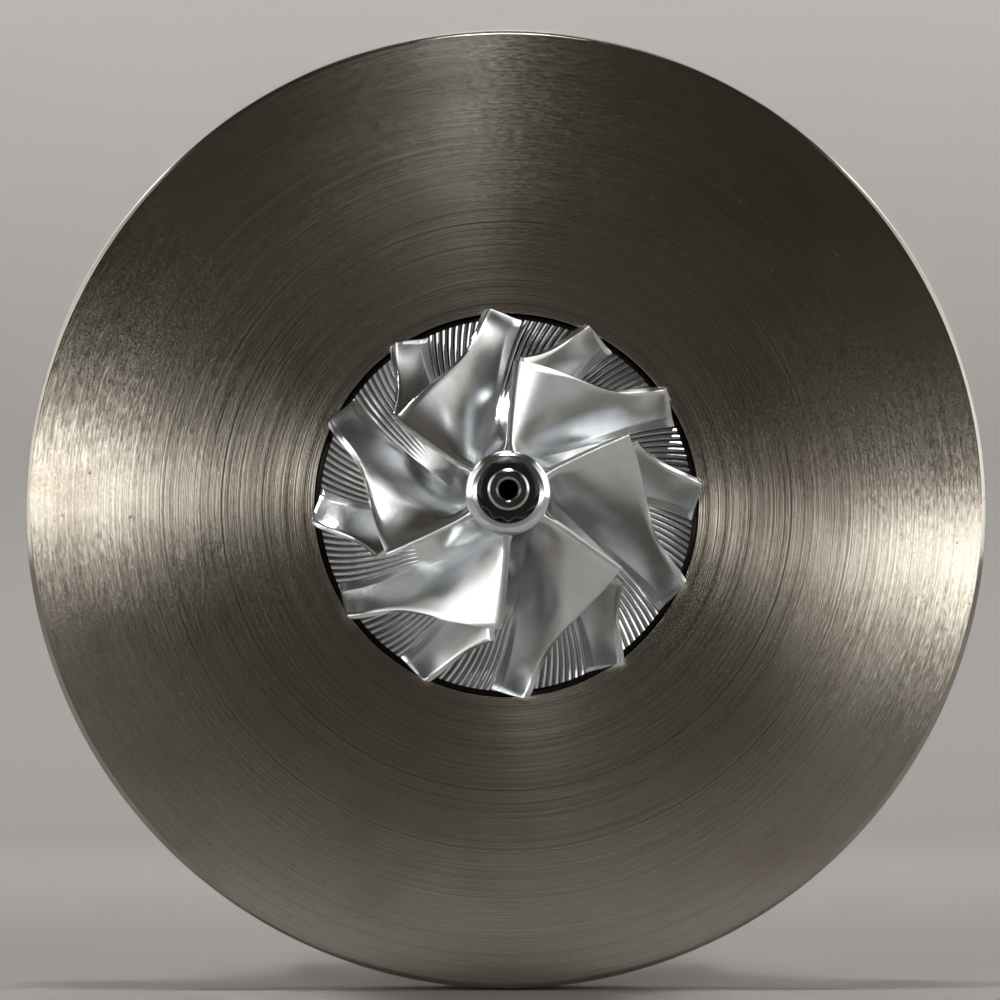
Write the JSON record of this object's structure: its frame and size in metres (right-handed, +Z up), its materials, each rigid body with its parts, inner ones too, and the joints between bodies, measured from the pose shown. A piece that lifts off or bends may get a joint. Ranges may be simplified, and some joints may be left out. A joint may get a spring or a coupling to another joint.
{
  "type": "turbo cartridge",
  "caption": "Turbocharger centre cartridge: bladed compressor wheel on a turned backplate, oil-fed bearing housing, floating bearings and a turbine wheel on one shaft.",
  "frame": {"origin": "on the rotor axis, in the plane of the backplate's front face", "axes": "+Y along the rotor axis towards the turbine, +Z up towards the oil inlet, compressor facing -Y"},
  "size_m": [0.1244, 0.1176, 0.1244],
  "materials": {
    "turned_plate": "fine turned, grey-brown",
    "seal_rubber": "matt black",
    "cast_housing": "as cast with machined faces",
    "plated_bolts": "zinc plated",
    "pressed_steel": "pressed sheet",
    "bearing_bronze": "machined bronze",
    "ground_steel": "ground",
    "ring_iron": "ground",
    "spring_steel": "phosphated",
    "shield_steel": "pressed sheet, heat tinted",
    "turbine_alloy": "investment cast",
    "milled_aluminium": "milled and polished",
    "black_steel": "black oxide"
  },
  "bodies": {
    "housing": {"compressor_backplate": "turned_plate", "cover_o_ring": "seal_rubber", "housing_o_ring": "seal_rubber", "bearing_housing": "cast_housing", "backplate_bolts": "plated_bolts", "oil_deflector": "pressed_steel", "thrust_bearing": "bearing_bronze", "thrust_dowel_pins": "ground_steel", "compressor_piston_ring": "ring_iron", "turbine_piston_ring": "ring_iron", "front_bearing_outer_ring": "spring_steel", "front_bearing_inner_ring": "spring_steel", "rear_bearing_inner_ring": "spring_steel", "rear_bearing_outer_ring": "spring_steel", "heat_shield": "shield_steel"},
    "rotor": {"rotor_shaft": "ground_steel", "turbine_wheel": "turbine_alloy", "flinger_sleeve": "ground_steel", "thrust_collar": "ground_steel", "compressor_wheel": "milled_aluminium", "lock_nut": "black_steel"},
    "front_bearing": {"front_journal_bearing": "bearing_bronze"},
    "rear_bearing": {"rear_journal_bearing": "bearing_bronze"}
  },
  "joints": [
    {"name": "rotor_spin", "type": "hinge", "parent": "housing", "child": "rotor", "pos_m": [0, 0, 0], "axis": [0, -1, 0], "continuous": true},
    {"name": "front_bearing_spin", "type": "hinge", "parent": "housing", "child": "front_bearing", "pos_m": [0, 0.0245, 0], "axis": [0, -1, 0], "continuous": true},
    {"name": "rear_bearing_spin", "type": "hinge", "parent": "housing", "child": "rear_bearing", "pos_m": [0, 0.0455, 0], "axis": [0, -1, 0], "continuous": true}
  ]
}
